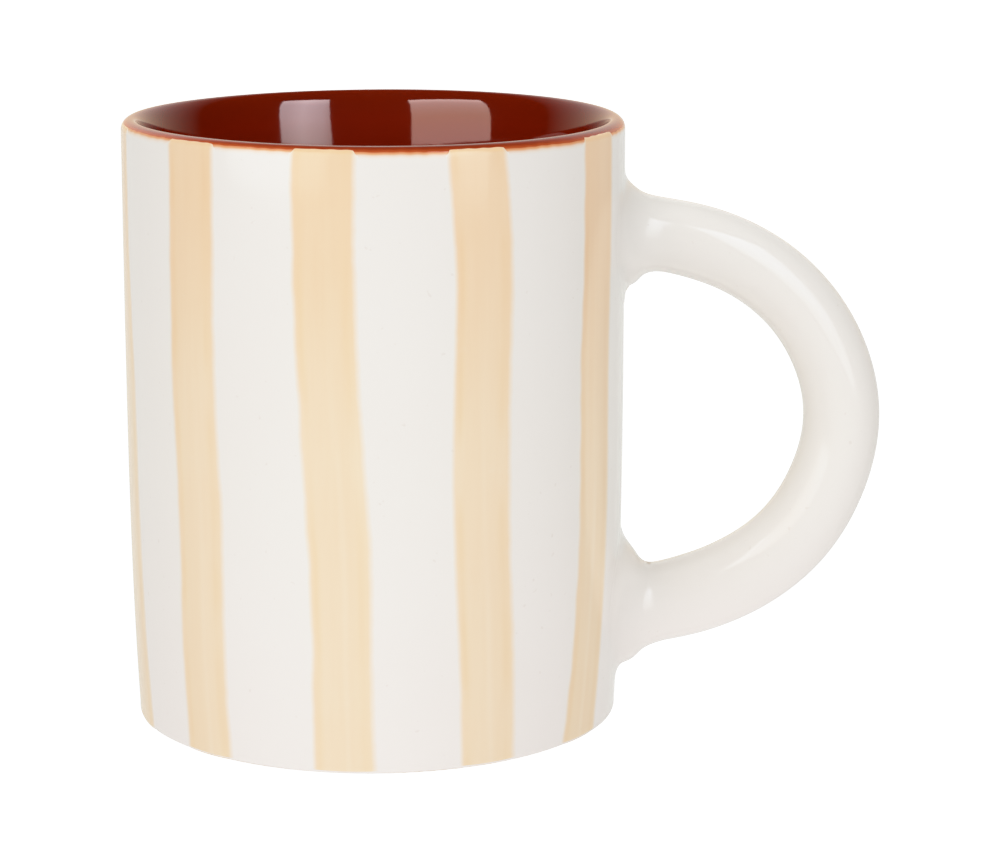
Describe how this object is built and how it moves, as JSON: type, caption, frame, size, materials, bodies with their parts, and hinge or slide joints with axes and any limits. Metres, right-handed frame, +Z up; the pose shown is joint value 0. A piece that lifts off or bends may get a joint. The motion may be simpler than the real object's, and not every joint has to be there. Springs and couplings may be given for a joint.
{
  "type": "mug",
  "caption": "Straight-sided stoneware mug with a rounded terracotta-glazed lip and lining, a white glazed outside with brushed beige stripes, and one round loop handle.",
  "frame": {"origin": "centre of the foot ring, in the plane the mug stands on", "axes": "+Z up along the cup's axis, +X out along the handle, +Y to the left of the handle seen from above"},
  "size_m": [0.1267, 0.0834, 0.1005],
  "materials": {
    "stoneware": "bare fired clay, matte",
    "slip": "bare fired clay slip, matte",
    "terracotta_glaze": "glossy red-brown glaze, orange where it thins over the lip",
    "white_glaze": "glossy warm white glaze",
    "stripe_glaze": "glossy beige brushed colour"
  },
  "bodies": {
    "root": {"cup_body": "stoneware", "handle": "stoneware", "upper_luting": "slip", "lower_luting": "slip", "liner_glaze": "terracotta_glaze", "outer_glaze": "white_glaze", "handle_glaze": "white_glaze", "stripe_1": "stripe_glaze", "stripe_2": "stripe_glaze", "stripe_3": "stripe_glaze", "stripe_4": "stripe_glaze", "stripe_5": "stripe_glaze", "stripe_6": "stripe_glaze", "stripe_7": "stripe_glaze", "stripe_8": "stripe_glaze", "stripe_9": "stripe_glaze", "stripe_10": "stripe_glaze"}
  },
  "joints": []
}
